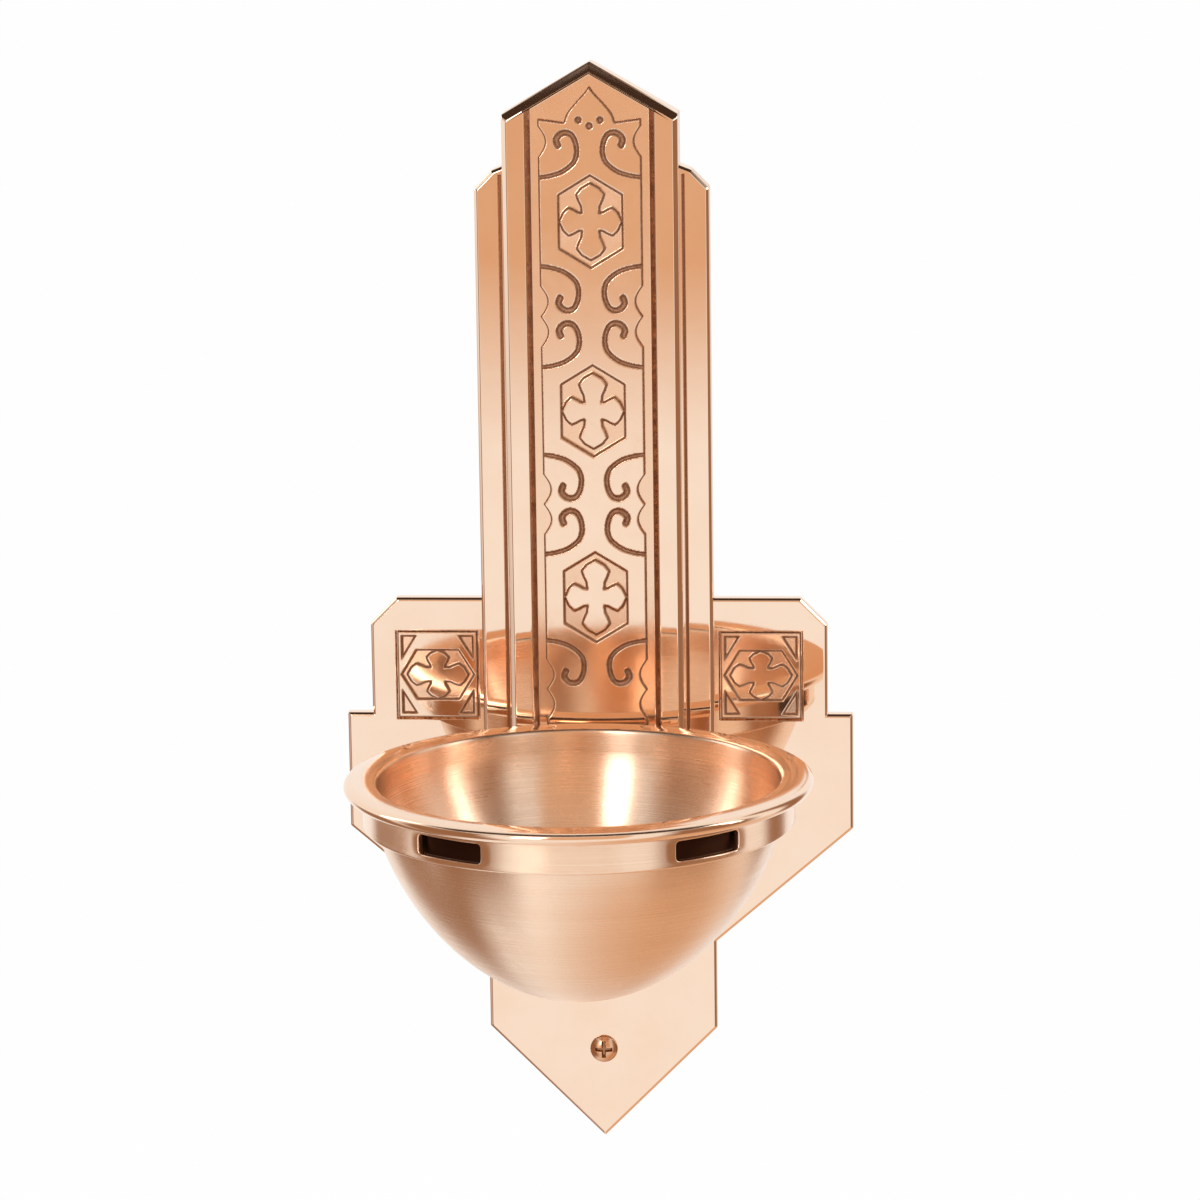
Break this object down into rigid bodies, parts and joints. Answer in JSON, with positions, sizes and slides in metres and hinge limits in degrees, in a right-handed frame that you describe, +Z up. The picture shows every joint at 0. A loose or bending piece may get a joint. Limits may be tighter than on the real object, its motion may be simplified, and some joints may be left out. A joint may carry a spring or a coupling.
{
  "type": "holy water stoup",
  "caption": "Wall-hung bronze holy water stoup: a stepped, gabled back plate with a relief strip, and a round bowl that lifts out of a pierced collar ring.",
  "frame": {"origin": "on the wall face of the plate, on its centre line, level with the top of the bowl's rim", "axes": "+Z up, +Y into the wall, +X to the right of someone facing the stoup"},
  "size_m": [0.202, 0.2225, 0.436],
  "materials": {
    "polished_bronze": "polished bronze",
    "spun_bronze": "satin bronze, spun and brushed",
    "cast_bronze": "cast bronze, polished on its raised faces",
    "screw_bronze": "dark bronze screws and rivets"
  },
  "bodies": {
    "wall_frame": {"back_plate": "polished_bronze", "column_base": "polished_bronze", "centre_pilaster": "polished_bronze", "ornament_strip": "cast_bronze", "left_wing_tile": "cast_bronze", "right_wing_tile": "cast_bronze", "collar_ring": "polished_bronze", "ring_bracket": "cast_bronze", "wall_screw": "screw_bronze", "pilaster_screw_1": "screw_bronze", "pilaster_screw_2": "screw_bronze", "pilaster_screw_3": "screw_bronze", "pilaster_screw_4": "screw_bronze", "bracket_screw_1": "screw_bronze", "bracket_screw_2": "screw_bronze", "tile_rivet_1": "screw_bronze", "tile_rivet_2": "screw_bronze", "tile_rivet_3": "screw_bronze", "tile_rivet_4": "screw_bronze", "strip_rivet_1": "screw_bronze", "strip_rivet_2": "screw_bronze", "strip_rivet_3": "screw_bronze"},
    "bowl": {"bowl": "spun_bronze"}
  },
  "joints": [
    {"name": "bowl_lift", "type": "slide", "parent": "wall_frame", "child": "bowl", "axis": [0, 0, 1], "range_m": [0, 0.1]}
  ]
}
